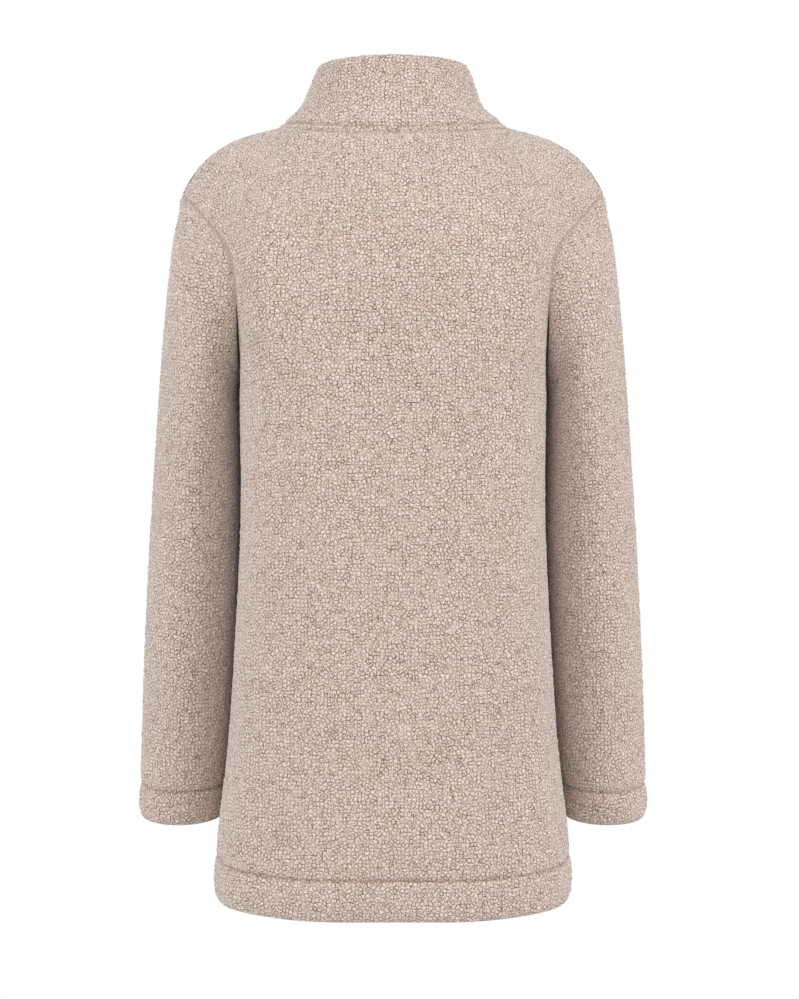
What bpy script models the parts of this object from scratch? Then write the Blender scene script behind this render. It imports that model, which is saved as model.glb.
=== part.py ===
"""A long sherpa jacket, closed and filled out as if worn, with nothing inside it.

Units are metres and +Z is up. The wearer faces -Y, and +X is the wearer's left. The origin is the
middle of the neck opening, at the height of the collar seam at the centre back.

Each cloth piece is a wall: a grid of outer points, and the same grid moved in by the cloth's thickness.
Pieces that are sewn together share the points of their seam, moved SEAM_GAP apart.
"""

import math

import bmesh
import bpy
import numpy as np
from mathutils import Vector

# ---- driving sizes ---------------------------------------------------------------------------------

CLOTH = 0.0045              # sherpa fleece, from backing to curl tips
FOLDED_EDGE = 0.0070        # hem and cuff, where the cloth is turned up and sewn down
COLLAR_EDGE = 0.0080        # two layers of cloth at the collar's top
SEAM_GAP = 0.0003

CENTRE_BACK_LENGTH = 0.743  # collar seam to hem
ARMHOLE_DEPTH = 0.233       # collar seam to underarm, at the centre back
HEM_BAND = 0.038
CUFF_BAND = 0.033
STITCH_GROOVE = 0.0012      # how far a sewn line pulls the cloth in
BAND_SWELL = 0.0010         # how far a turned band stands out
HEAD_SWELL = (0.0016, 0.0010)   # how far the sleeve's head stands out below the armhole, ring by ring

NECK_HALF_WIDTH = 0.1145
NECK_BACK, NECK_FRONT = 0.0765, 0.087       # how far the neck seam reaches behind and before the origin
NECK_SIDE_RISE = 0.0160
NECK_FRONT_DROP = 0.052

COLLAR_TOP_HALF_WIDTH = 0.0745
COLLAR_TOP_BACK, COLLAR_TOP_FRONT = 0.060, 0.076
COLLAR_BACK_RISE, COLLAR_SIDE_RISE, COLLAR_FRONT_RISE = 0.0785, 0.0770, 0.026

ZIP_OPENING = 0.0048        # from the centre line to the cloth's edge
CHAIN_HALF_WIDTH = 0.0030
CHAIN_DEPTH = (0.0030, 0.0054)
TAPE_WIDTH = 0.0130
TAPE_DEPTH = (0.0050, 0.0057)
ZIP_BOX_TOP = 0.0130        # from the hem to the top of the zip's box
SLIDER_FROM_TOP = 0.0165    # from the collar's top to the slider's middle
TAPE_FROM_ENDS = (0.004, 0.006)     # the tapes end this far from the hem and from the collar's top
SLIDER_LENGTH = 0.0110
SLIDER_HALF_WIDTH = 0.0043
PULL_LENGTH = 0.0270

PULL_DEPTH = 0.00045        # the pull's axis, inside the cloth's outer face

MIRROR = (-1, 1, 1)
SPLIT_DIRECTION = Vector((0.0, 0.37, 1.0))
LINE_WIDTH = 0.006          # mesh spacing beside a sewn line
EDGE_ROUND = 0.005          # mesh spacing beside a hem's or cuff's edge
NECK_STEPS = 8              # mesh steps along half of the back neck, and along each front neck
SHOULDER_STEPS = 7
ARMHOLE_STEPS = 12
BODY_STEPS = 13
SLEEVE_STEPS = 16

# ---- tables ----------------------------------------------------------------------------------------

# The shoulder seam, from the neck to the top of the armhole.
SHOULDER_COLUMNS = ("x", "y", "z")
SHOULDER = (
    (0.1145, 0.000, 0.0160),
    (0.149, 0.003, 0.0064),
    (0.182, 0.006, -0.0133),
    (0.199, 0.008, -0.0330),
    (0.2068, 0.009, -0.0487),
)

# Half of the back and half of the front, a row for each section from under the shoulder to the hem.
# "down" counts 0 at the shoulder, 1 at the underarm and 2 at the hem. "mid" is on the flat of the panel,
# "fold" is where it turns towards the side, and "seam" is on the armhole and then on the side seam.
SECTION_COLUMNS = ("down", "centre_y", "centre_z", "mid_x", "mid_y", "mid_z",
                   "fold_x", "fold_y", "fold_z", "seam_x", "seam_y", "seam_z")
BACK_SECTIONS = (
    (0.20, 0.0990, -0.036, 0.098, 0.066, -0.024, 0.153, 0.053, -0.047, 0.1790, 0.048, -0.0815),
    (0.40, 0.1120, -0.078, 0.093, 0.097, -0.072, 0.139, 0.089, -0.093, 0.1555, 0.078, -0.1130),
    (0.60, 0.1190, -0.130, 0.090, 0.111, -0.128, 0.134, 0.101, -0.140, 0.1490, 0.082, -0.1600),
    (0.80, 0.1220, -0.180, 0.089, 0.116, -0.180, 0.135, 0.102, -0.190, 0.1485, 0.052, -0.2080),
    (1.00, 0.1230, -0.233, 0.087, 0.118, -0.234, 0.130, 0.099, -0.237, 0.1480, 0.000, -0.2350),
    (1.25, 0.1230, -0.360, 0.087, 0.118, -0.360, 0.129, 0.098, -0.360, 0.1475, 0.000, -0.3600),
    (1.50, 0.1220, -0.487, 0.089, 0.117, -0.486, 0.136, 0.096, -0.485, 0.1525, 0.000, -0.4840),
    (1.75, 0.1230, -0.615, 0.093, 0.117, -0.614, 0.145, 0.093, -0.611, 0.1615, 0.000, -0.6050),
    (1.87, 0.1243, -0.677, 0.097, 0.1175, -0.676, 0.153, 0.092, -0.671, 0.1690, 0.000, -0.6630),
    (2.00, 0.1260, -0.743, 0.100, 0.118, -0.742, 0.158, 0.090, -0.736, 0.1735, 0.000, -0.7245),
)
FRONT_SECTIONS = (
    (0.20, -0.0990, -0.088, 0.091, -0.069, -0.038, 0.150, -0.043, -0.042, 0.1810, -0.028, -0.0775),
    (0.40, -0.1090, -0.122, 0.088, -0.094, -0.084, 0.137, -0.075, -0.090, 0.1580, -0.058, -0.1070),
    (0.60, -0.1170, -0.158, 0.086, -0.113, -0.138, 0.133, -0.094, -0.138, 0.1500, -0.069, -0.1520),
    (0.80, -0.1220, -0.197, 0.086, -0.120, -0.188, 0.133, -0.098, -0.190, 0.1485, -0.048, -0.2040),
    (1.00, -0.1230, -0.240, 0.086, -0.121, -0.238, 0.134, -0.097, -0.240, 0.1480, 0.000, -0.2350),
    (1.25, -0.1200, -0.362, 0.087, -0.117, -0.361, 0.135, -0.093, -0.361, 0.1475, 0.000, -0.3600),
    (1.50, -0.1190, -0.487, 0.088, -0.115, -0.486, 0.137, -0.089, -0.485, 0.1525, 0.000, -0.4840),
    (1.75, -0.1210, -0.612, 0.091, -0.116, -0.611, 0.141, -0.086, -0.609, 0.1615, 0.000, -0.6050),
    (1.87, -0.1230, -0.673, 0.094, -0.117, -0.672, 0.145, -0.084, -0.669, 0.1690, 0.000, -0.6630),
    (2.00, -0.1250, -0.738, 0.098, -0.118, -0.737, 0.152, -0.082, -0.732, 0.1735, 0.000, -0.7245),
)

# The sleeve below the armhole, a row for each ring: its outermost and innermost points, and its fore-aft
# middle and half depth. The forearm leans forward, so the lower rings drop towards the back.
SLEEVE_COLUMNS = ("outer_x", "outer_z", "inner_x", "inner_z", "middle_y", "half_depth", "back_drop")
SLEEVE_RINGS = (
    (0.2177, -0.107, 0.1505, -0.247, 0.004, 0.0750, 0.000),
    (0.2236, -0.163, 0.1495, -0.262, 0.003, 0.0700, 0.000),
    (0.2285, -0.218, 0.1490, -0.280, 0.001, 0.0650, 0.000),
    (0.2325, -0.270, 0.1490, -0.302, -0.001, 0.0610, 0.001),
    (0.2360, -0.320, 0.1488, -0.329, -0.003, 0.0580, 0.002),
    (0.2425, -0.420, 0.1506, -0.421, -0.010, 0.0540, 0.004),
    (0.2480, -0.520, 0.1560, -0.520, -0.022, 0.0510, 0.006),
    (0.2515, -0.595, 0.1608, -0.595, -0.033, 0.0490, 0.007),
    (0.2545, -0.663, 0.1665, -0.663, -0.043, 0.0485, 0.007),
)

# How far the collar has leaned in, from seam to top, as shares of its height and of its whole lean.
COLLAR_COLUMNS = ("height", "lean")
COLLAR_PROFILE = (
    (0.00, 0.000),
    (0.10, 0.180),
    (0.22, 0.390),
    (0.34, 0.590),
    (0.55, 0.735),
    (0.76, 0.860),
    (0.95, 0.975),
)

# Soft troughs (positive depth) and ridges (negative), each along a line on one face of a piece, seen from
# behind or in front. "a" is x, but on a sleeve it is y, counted from the sleeve's middle.
FOLD_COLUMNS = ("face", "a_from", "z_from", "a_to", "z_to", "depth", "half_width")
FOLDS = (
    ("back", 0.092, -0.035, 0.088, -0.110, 0.0022, 0.016),
    ("back", -0.104, -0.180, -0.106, -0.300, 0.0026, 0.016),
    ("back", -0.048, -0.180, -0.056, -0.290, 0.0018, 0.020),
    ("back", 0.060, -0.330, 0.066, -0.520, 0.0014, 0.022),
    ("back", -0.120, -0.500, -0.124, -0.660, 0.0016, 0.018),
    ("back", 0.112, -0.560, 0.118, -0.690, 0.0018, 0.018),
    ("back", 0.120, -0.120, 0.126, -0.260, -0.0016, 0.012),
    ("back", -0.122, -0.130, -0.128, -0.270, -0.0016, 0.012),
    ("front", 0.075, -0.120, 0.100, -0.240, 0.0022, 0.018),
    ("front", -0.078, -0.130, -0.104, -0.230, 0.0020, 0.018),
    ("front", 0.060, -0.420, 0.068, -0.600, 0.0018, 0.022),
    ("front", -0.058, -0.380, -0.070, -0.570, 0.0020, 0.022),
    ("sleeve_left_back", 0.045, -0.190, 0.010, -0.300, 0.0026, 0.014),
    ("sleeve_left_back", 0.020, -0.395, -0.035, -0.425, 0.0016, 0.012),
    ("sleeve_left_front", -0.050, -0.190, -0.020, -0.310, 0.0024, 0.014),
    ("sleeve_left_front", -0.040, -0.430, 0.010, -0.465, 0.0026, 0.012),
    ("sleeve_right_back", 0.048, -0.200, 0.012, -0.320, 0.0026, 0.014),
    ("sleeve_right_back", 0.018, -0.410, -0.036, -0.445, 0.0016, 0.012),
    ("sleeve_right_front", -0.048, -0.180, -0.018, -0.290, 0.0024, 0.014),
    ("sleeve_right_front", -0.042, -0.400, 0.012, -0.440, 0.0026, 0.012),
    ("collar_back", -0.060, 0.066, -0.087, 0.034, 0.0045, 0.0065),
    ("collar_back", -0.052, 0.056, -0.078, 0.026, -0.0018, 0.0060),
)


# ---- curves and grids ------------------------------------------------------------------------------

def column(rows, names, *wanted):
    """The wanted columns of a table, as an array with a row for each of the table's rows."""
    picked = [names.index(name) for name in wanted]
    return np.array([[row[i] for i in picked] for row in rows], float)


def through(keys, points, at, before=None, after=None):
    """A smooth curve through points at keys, read at at. before and after are neighbours past its ends."""
    keys, points, at = np.array(keys, float), np.array(points, float), np.array(at, float)
    slopes = (points[1:] - points[:-1]) / (keys[1:] - keys[:-1])[:, None]
    steps = keys[1:] - keys[:-1]
    tangents = np.empty_like(points)
    tangents[1:-1] = ((slopes[:-1] * steps[1:, None] + slopes[1:] * steps[:-1, None])
                      / (steps[1:] + steps[:-1])[:, None])
    tangents[0] = slopes[0] if before is None else (points[1] - before) / (2 * steps[0])
    tangents[-1] = slopes[-1] if after is None else (after - points[-2]) / (2 * steps[-1])
    span = np.clip(np.searchsorted(keys, at, side="right") - 1, 0, len(keys) - 2)
    t = ((at - keys[span]) / steps[span])[:, None]
    width = steps[span][:, None]
    return ((2 * t**3 - 3 * t**2 + 1) * points[span] + (t**3 - 2 * t**2 + t) * width * tangents[span]
            + (3 * t**2 - 2 * t**3) * points[span + 1] + (t**3 - t**2) * width * tangents[span + 1])


def lengths(points):
    """Distance along a row of points, as shares from 0 to 1."""
    run = np.concatenate([[0], np.cumsum(np.linalg.norm(np.diff(points, axis=0), axis=1))])
    return run / run[-1]


def unit(vectors):
    return vectors / np.maximum(np.linalg.norm(vectors, axis=-1, keepdims=True), 1e-12)


def neck_point(turn):
    """A point of the neck seam on the left half. turn is 0 at the centre back, 90 degrees at the side and
    180 degrees at the centre front."""
    back = turn <= math.pi / 2
    y = (NECK_BACK if back else NECK_FRONT) * math.cos(turn)
    drop = 0.0 if back else NECK_FRONT_DROP
    z = NECK_SIDE_RISE - (NECK_SIDE_RISE + drop) * abs(math.cos(turn)) ** 1.6
    return (NECK_HALF_WIDTH * math.sin(turn), y, z)


def top_edge(name):
    """The neck and shoulder edge of half a panel, from its centre outwards."""
    if name == "back":
        turns = [i / NECK_STEPS * math.pi / 2 for i in range(NECK_STEPS + 1)]
    else:
        first = math.pi - math.asin(ZIP_OPENING / NECK_HALF_WIDTH)
        turns = [first + i / NECK_STEPS * (math.pi / 2 - first) for i in range(NECK_STEPS + 1)]
    neck = np.array([neck_point(turn) for turn in turns])
    seam = column(SHOULDER, SHOULDER_COLUMNS, "x", "y", "z")
    shoulder = through(lengths(seam), seam, np.linspace(0, 1, SHOULDER_STEPS + 1))
    return np.vstack([neck, shoulder[1:]])


def panel_rows():
    """Where the mesh rows lie on the "down" scale, with closer rows at the hem's sewn line and edge."""
    below_arm = CENTRE_BACK_LENGTH - ARMHOLE_DEPTH
    line, step, edge = (length / below_arm for length in (HEM_BAND, LINE_WIDTH, EDGE_ROUND))
    arm = np.arange(ARMHOLE_STEPS) / ARMHOLE_STEPS
    body = np.linspace(1, 2 - line - step, BODY_STEPS + 1)
    return np.array([*arm, *body, 2 - line, 2 - line + step, 2 - line / 2, 2 - edge, 2])


def section_rows(name):
    """Half a panel at each row of its table, as points across it, under its neck and shoulder edge."""
    table, other = (BACK_SECTIONS, FRONT_SECTIONS) if name == "back" else (FRONT_SECTIONS, BACK_SECTIONS)
    centre_x = 0.0 if name == "back" else ZIP_OPENING
    top = top_edge(name)
    even = np.linspace(0, 1, NECK_STEPS + SHOULDER_STEPS + 1)
    # near the top, the columns stand under their own points of the neck and shoulder edge
    at_neck = lengths(top)[NECK_STEPS]
    shoulder_share = at_neck + (1 - at_neck) * lengths(top[NECK_STEPS:])
    under_top = np.concatenate([at_neck * top[:NECK_STEPS, 0] / top[NECK_STEPS, 0], shoulder_share])
    centre = column(table, SECTION_COLUMNS, "centre_y", "centre_z")
    mid, fold, seam = (column(table, SECTION_COLUMNS, part + "_x", part + "_y", part + "_z")
                       for part in ("mid", "fold", "seam"))
    other_fold = column(other, SECTION_COLUMNS, "fold_x", "fold_y", "fold_z")
    rows = [top]
    for r in range(len(table)):
        keys = np.array([(centre_x, *centre[r]), mid[r], fold[r], seam[r]])
        past = other_fold[r] if table[r][0] >= 1 else None
        fine = through(lengths(keys), keys, np.linspace(0, 1, 60), before=keys[1] * MIRROR, after=past)
        share = lengths(fine)
        near_top = max(0, 1 - table[r][0] / 0.9)
        across = near_top * under_top + (1 - near_top) * even
        across[0] = 0
        rows.append(np.column_stack([np.interp(across, share, fine[:, i]) for i in range(3)]))
    return np.array(rows)


def half_panel(name):
    """Outer points of the left half of the back or front, as rows from the top down, columns outwards."""
    down = np.concatenate([[0], column(BACK_SECTIONS, SECTION_COLUMNS, "down")[:, 0]])
    underarm = int(np.searchsorted(down, 1.0))
    rows = panel_rows()
    keys, facing = section_rows(name), section_rows("front" if name == "back" else "back")

    # the cloth runs smoothly over the shoulder, and leaves the neck seam straight
    straight = 2 * keys[0] - keys[1]
    over = np.clip((np.arange(keys.shape[1]) - NECK_STEPS + 4) / 4, 0, 1)[:, None] ** 2
    before = straight + over * (facing[1] - straight)
    flat = keys.reshape(len(keys), -1)
    grid = through(down, flat, rows, before=before.ravel()).reshape(len(rows), -1, 3)

    # the armhole keeps its own smooth curve, turns into the side seam at the underarm, and takes the
    # columns beside it along
    seam, drawn = keys[:, -1], grid[:, -1].copy()
    grid[rows < 1, -1] = through(down[:underarm + 1], seam[:underarm + 1], rows[rows < 1],
                                 before=facing[1, -1], after=facing[underarm - 1, -1])
    grid[rows >= 1, -1] = through(down[underarm:], seam[underarm:], rows[rows >= 1])
    shares = np.array([0.2, 0.4, 0.6, 0.8])[None, :, None]
    grid[:, -5:-1] += shares * (grid[:, -1] - drawn)[:, None]
    return grid


def sleeve_grid(armhole):
    """Outer points of the left sleeve: rings from the armhole to the cuff's edge, closed round it."""
    turns = np.arange(2 * ARMHOLE_STEPS) / ARMHOLE_STEPS * math.pi
    rings = [armhole]
    for outer_x, outer_z, inner_x, inner_z, middle_y, half_depth, back_drop in SLEEVE_RINGS:
        middle = np.array([(outer_x + inner_x) / 2, middle_y, (outer_z + inner_z) / 2])
        to_outside = np.array([(outer_x - inner_x) / 2, 0, (outer_z - inner_z) / 2])
        to_back = np.array([0, half_depth, -back_drop])
        rings.append(middle + np.cos(turns)[:, None] * to_outside + np.sin(turns)[:, None] * to_back)
    rings = np.array(rings)
    middles = rings.mean(axis=1)
    keys = np.concatenate([[0], np.cumsum(np.linalg.norm(np.diff(middles, axis=0), axis=1))])
    first, end = keys[1], keys[-1]
    cuff_line = end - CUFF_BAND
    tube = np.linspace(first, cuff_line - LINE_WIDTH, SLEEVE_STEPS)
    band = (cuff_line, cuff_line + LINE_WIDTH, end - CUFF_BAND / 2, end - EDGE_ROUND, end)
    at = np.array([0, 0.35 * first, 0.7 * first, *tube, *band])
    return through(keys, rings.reshape(len(rings), -1), at).reshape(len(at), -1, 3)


def collar_grid(neck):
    """Outer points of half the collar: rows from its seam up, columns from the zip round to the back."""
    top = []
    for x, y, z in neck:
        turn = math.atan2(x / NECK_HALF_WIDTH, y / (NECK_BACK if y > 0 else NECK_FRONT))
        back = turn <= math.pi / 2
        rise = COLLAR_BACK_RISE if back else COLLAR_FRONT_RISE
        height = COLLAR_SIDE_RISE + (rise - COLLAR_SIDE_RISE) * abs(math.cos(turn)) ** 1.8
        reach = (COLLAR_TOP_BACK if back else COLLAR_TOP_FRONT) * math.cos(turn)
        top.append((COLLAR_TOP_HALF_WIDTH * math.sin(turn), reach, height))
    top = np.array(top)
    top[0, 0] = neck[0, 0]                  # the front edge runs straight up beside the zip
    shares = [(lean, lean, height) for height, lean in COLLAR_PROFILE] + [(1, 1, 1)]
    return np.array([neck + (top - neck) * share for share in shares])


def grid_normals(grid, middle, closed=False):
    """Unit normals of a grid of points, pointing away from its middle."""
    down = np.gradient(grid, axis=0)
    if closed:
        across = np.roll(grid, -1, axis=1) - np.roll(grid, 1, axis=1)
    else:
        across = np.gradient(grid, axis=1)
    normals = unit(np.cross(down, across))
    return normals * np.sign(np.einsum("rcx,rcx->", normals, grid - middle))


def fold_depth(face, a, z):
    """How far the folds of a face push its points in, at places a, z."""
    depth = np.zeros_like(a)
    for name, a_from, z_from, a_to, z_to, deep, half_width in FOLDS:
        if name == face:
            run = np.array([a_to - a_from, z_to - z_from])
            share = np.clip(((a - a_from) * run[0] + (z - z_from) * run[1]) / (run @ run), 0, 1)
            distance = np.hypot(a - a_from - share * run[0], z - z_from - share * run[1])
            depth += deep * np.exp(-(distance / half_width) ** 2)
    return depth


def band_swell(count):
    """How far each row of a piece stands out: in at the band's sewn line and at its edge, out between."""
    swell = np.zeros(count)
    swell[-5:] = (-STITCH_GROOVE, 0.6 * BAND_SWELL, BAND_SWELL, 0, -0.0030)
    return swell


def band_thickness(count):
    thickness = np.full(count, CLOTH)
    thickness[-5:] = (FOLDED_EDGE - STITCH_GROOVE, FOLDED_EDGE, FOLDED_EDGE, FOLDED_EDGE - 0.0005, 0.0055)
    return thickness


# ---- sewing ----------------------------------------------------------------------------------------

class Piece:
    """The left half of a cloth piece: its outer points, how its wall stands there, and its seam gaps."""

    def __init__(self, points, middle, closed=False):
        self.points = points
        self.normals = grid_normals(points, middle, closed)
        self.gaps = np.zeros_like(points)

    def layers(self, swell, thickness, dent):
        """Outer and inner points of the wall."""
        base = self.points + self.gaps
        outer = base + self.normals * (swell - dent)[..., None]
        return outer, base - self.normals * (thickness + dent)[..., None]


def sew(side_a, side_b, closed=False, centred=()):
    """Joins two sides of a seam, each a list of (piece, seam rows, seam columns, next rows, next columns)
    in order along it, with SEAM_GAP between them. Where the pieces lie flat or form a ridge, both walls
    stand the same way; where they fold together, each keeps its own. centred are the seam points on the
    centre line or beside the zip, which stay there."""

    def gather(side, name):
        return np.vstack([getattr(piece, name)[rows, columns].reshape(-1, 3)
                          for piece, rows, columns, *_ in side])

    def dot(a, b):
        return np.einsum("ix,ix->i", a, b)

    seam = gather(side_a, "points")
    along = np.roll(seam, -1, axis=0) - np.roll(seam, 1, axis=0) if closed else np.gradient(seam, axis=0)

    def into(side, normals):
        """Directions in the cloth's surface, straight away from the seam."""
        rough = np.vstack([(piece.points[next_rows, next_columns]
                            - piece.points[rows, columns]).reshape(-1, 3)
                           for piece, rows, columns, next_rows, next_columns in side])
        straight = unit(np.cross(along, normals))
        return straight * np.sign(dot(straight, rough).sum())

    normal_a, normal_b = gather(side_a, "normals"), gather(side_b, "normals")
    into_a, into_b = into(side_a, normal_a), into(side_b, normal_b)
    facing = dot(normal_a, normal_b)
    valley = (dot(into_a, normal_b) + dot(into_b, normal_a) > 0) | (facing < 0)
    alike = np.where(valley, np.clip((facing - 0.1) / 0.7, 0, 1), 1)[:, None]
    shared = unit(normal_a + normal_b)
    gap = into_a - into_b + valley[:, None] * (normal_b - normal_a)
    gap[list(centred), 0] = 0
    gap = unit(gap) * SEAM_GAP / 2
    for side, own, sign in ((side_a, normal_a, 1), (side_b, normal_b, -1)):
        standing = alike * shared + (1 - alike) * own
        standing[list(centred), 0] = 0
        standing = unit(standing)
        start = 0
        for piece, rows, columns, *_ in side:
            shape = piece.points[rows, columns].shape
            count = shape[0] if len(shape) > 1 else 1
            piece.normals[rows, columns] = standing[start:start + count].reshape(shape)
            piece.gaps[rows, columns] += sign * gap[start:start + count].reshape(shape)
            start += count


def meet(corner, other, gap_from):
    """Gives a corner point of one piece the wall direction and the seam gap of the piece beside it."""
    piece, row, col = corner
    other_piece, other_row, other_col = other
    piece.normals[row, col] = other_piece.normals[other_row, other_col]
    piece.gaps[row, col] += other_piece.gaps[other_row, other_col] - gap_from


def sewn_pieces():
    """The left halves of the back, front and collar and the left sleeve, sewn together."""
    rows = len(panel_rows())
    middle = np.zeros((rows, 1, 3))
    middle[:, 0, 2] = np.linspace(-0.1, -0.7, rows)
    back, front = Piece(half_panel("back"), middle), Piece(half_panel("front"), middle)
    arm = np.arange(ARMHOLE_STEPS)
    up = np.arange(ARMHOLE_STEPS, 0, -1)
    tube = sleeve_grid(np.vstack([back.points[arm, -1], front.points[up, -1]]))
    sleeve = Piece(tube, tube.mean(axis=1, keepdims=True), closed=True)
    front_neck, back_neck = np.arange(NECK_STEPS + 1), np.arange(NECK_STEPS - 1, -1, -1)
    neck = np.vstack([front.points[0, front_neck], back.points[0, back_neck]])
    collar = Piece(collar_grid(neck), np.array([0, 0, 0.03]))

    shoulder, side = np.arange(NECK_STEPS, back.points.shape[1]), np.arange(ARMHOLE_STEPS, rows)
    back.normals[:, 0, 0] = front.normals[:, 0, 0] = 0
    back.normals[:, 0], front.normals[:, 0] = unit(back.normals[:, 0]), unit(front.normals[:, 0])
    collar.normals[:, (0, -1), 0] = 0
    collar.normals = unit(collar.normals)

    sew([(back, 0, shoulder, 1, shoulder)], [(front, 0, shoulder, 1, shoulder)])
    sew([(back, side, -1, side, -2)], [(front, side, -1, side, -2)])
    # corners take their wall direction and gap from the piece that the next seam counts them with
    tip, underarm, neck_side = (0, -1), (ARMHOLE_STEPS, -1), (0, NECK_STEPS)
    corners = ((tip, back), (underarm, front), (neck_side, front))
    before = {corner: piece.gaps[corner].copy() for corner, piece in corners}
    ring = np.arange(2 * ARMHOLE_STEPS)
    sew([(back, arm, -1, arm, -3), (front, up, -1, up, -3)], [(sleeve, 0, ring, 1, ring)], closed=True)
    half = np.arange(len(neck))
    sew([(front, 0, front_neck, 1, front_neck), (back, 0, back_neck, 1, back_neck)],
        [(collar, 0, half, 1, half)], centred=(0, -1))
    meet((front, *tip), (back, *tip), before[tip])
    meet((back, *underarm), (front, *underarm), before[underarm])
    meet((back, *neck_side), (front, *neck_side), before[neck_side])
    return back, front, sleeve, collar


# ---- meshes ----------------------------------------------------------------------------------------

def material(name, colour, roughness, metallic=0.0):
    made = bpy.data.materials.new(name)
    made.use_nodes = True
    shader = made.node_tree.nodes["Principled BSDF"]
    shader.inputs["Base Color"].default_value = (*colour, 1)
    shader.inputs["Roughness"].default_value = roughness
    shader.inputs["Metallic"].default_value = metallic
    return made


def add_object(name, bm, finish):
    """A closed, outward-facing object from a bmesh, shaded smooth."""
    bmesh.ops.recalc_face_normals(bm, faces=bm.faces)
    mesh = bpy.data.meshes.new(name)
    bm.to_mesh(mesh)
    bm.free()
    mesh.materials.append(finish)
    mesh.shade_smooth()
    made = bpy.data.objects.new(name, mesh)
    bpy.context.scene.collection.objects.link(made)
    return made


def rim_face(bm, quad):
    """Two triangles across a rim, split by a rule on places alone, so that facing rims split alike."""
    a, b, c, d = quad
    if (a.co + c.co - b.co - d.co).dot(SPLIT_DIRECTION) > 0:
        a, b, c, d = b, c, d, a
    bm.faces.new((a, b, c))
    bm.faces.new((a, c, d))


def wall(name, layers, finish, closed=False, rims=()):
    """A solid from a row of layers that each hold a row of points: the layers run round the wall's section,
    and the points run along it. closed says that the points come back to their start, and rims are the
    layers after which the section turns from one face of the cloth to the other."""
    bm = bmesh.new()
    verts = [[bm.verts.new(point) for point in layer] for layer in layers]
    count = len(verts[0])
    last = count if closed else count - 1
    for i, layer in enumerate(verts):
        following = verts[(i + 1) % len(verts)]
        for j in range(last):
            k = (j + 1) % count
            quad = (layer[j], layer[k], following[k], following[j])
            if i in rims:
                rim_face(bm, quad)
            else:
                bm.faces.new(quad)
    if not closed:
        half = len(verts) // 2
        for j in (0, count - 1):
            for i in range(half - 1):
                rim_face(bm, (verts[i][j], verts[i + 1][j], verts[-i - 2][j], verts[-i - 1][j]))
            if len(verts) % 2:
                bm.faces.new((verts[half - 1][j], verts[half][j], verts[half + 1][j]))
    return add_object(name, bm, finish)


def cloth_wall(name, outer, inner, finish, closed=False):
    """A wall of cloth from its outer and inner points."""
    layers = [*outer, *inner[::-1]]
    return wall(name, layers, finish, closed, rims=(len(outer) - 1, len(layers) - 1))


def box_mesh(bm, low, high):
    """A block between two corners in a bmesh, and its vertices."""
    made = bmesh.ops.create_cube(bm, size=1)["verts"]
    low, high = np.array(low), np.array(high)
    for vert in made:
        vert.co = (low + high) / 2 + np.array(vert.co) * (high - low)
    return made


# ---- the cloth pieces ------------------------------------------------------------------------------

def make_body(back, front, finish):
    """The back in one piece, and both fronts."""
    count, width = back.points.shape[:2]
    swell, thickness = band_swell(count)[:, None], band_thickness(count)[:, None]
    from_top = np.arange(count)[:, None] / 3
    from_seam = (width - 1 - np.arange(width))[None] / 2
    from_zip = np.arange(width)[None] / 3
    halves = {}
    for name, piece in (("back", back), ("front", front)):
        fade = np.clip(np.minimum(from_top, from_seam), 0, 1)
        deep = np.broadcast_to(thickness, (count, width))
        if name == "front":
            fade = fade * np.clip(from_zip, 0, 1)
            # thin where the zip is sewn in
            deep = np.minimum(CLOTH + (deep - CLOTH) * np.clip(from_zip - 1 / 3, 0, 1), thickness)
        for sign, side in ((1, "left"), (-1, "right")):
            dent = fold_depth(name, sign * piece.points[..., 0], piece.points[..., 2]) * fade
            layers = piece.layers(swell, deep, dent)
            halves[name, side] = [layer * (sign, 1, 1) for layer in layers]
    whole = [np.concatenate([right[:, :0:-1], left], axis=1)
             for left, right in zip(halves["back", "left"], halves["back", "right"])]
    cloth_wall("back", *whole, finish)
    for side in ("left", "right"):
        cloth_wall("front_" + side, *halves["front", side], finish)


def make_sleeves(sleeve, finish):
    count = len(sleeve.points)
    swell, thickness = band_swell(count)[:, None], band_thickness(count)[:, None]
    # the sleeve's head stands a little proud of the armhole, but not at the underarm
    head = np.zeros((count, 1))
    head[1:3, 0] = HEAD_SWELL
    swell = swell + head * np.clip(2 * sleeve.normals[..., 0], 0, 1)
    fade = np.clip(np.arange(count) / 3, 0, 1)[:, None]
    across = sleeve.points[..., 1] - sleeve.points[..., 1].mean(axis=1, keepdims=True)
    for sign, side in ((1, "left"), (-1, "right")):
        dent = np.zeros(sleeve.points.shape[:2])
        for facing, face in ((1, "back"), (-1, "front")):
            weight = np.clip(1.6 * facing * sleeve.normals[..., 1], 0, 1)
            dent += weight * fold_depth(f"sleeve_{side}_{face}", across, sleeve.points[..., 2])
        outer, inner = sleeve.layers(swell, thickness, dent * fade)
        cloth_wall("sleeve_" + side, outer * (sign, 1, 1), inner * (sign, 1, 1), finish, closed=True)


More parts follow.
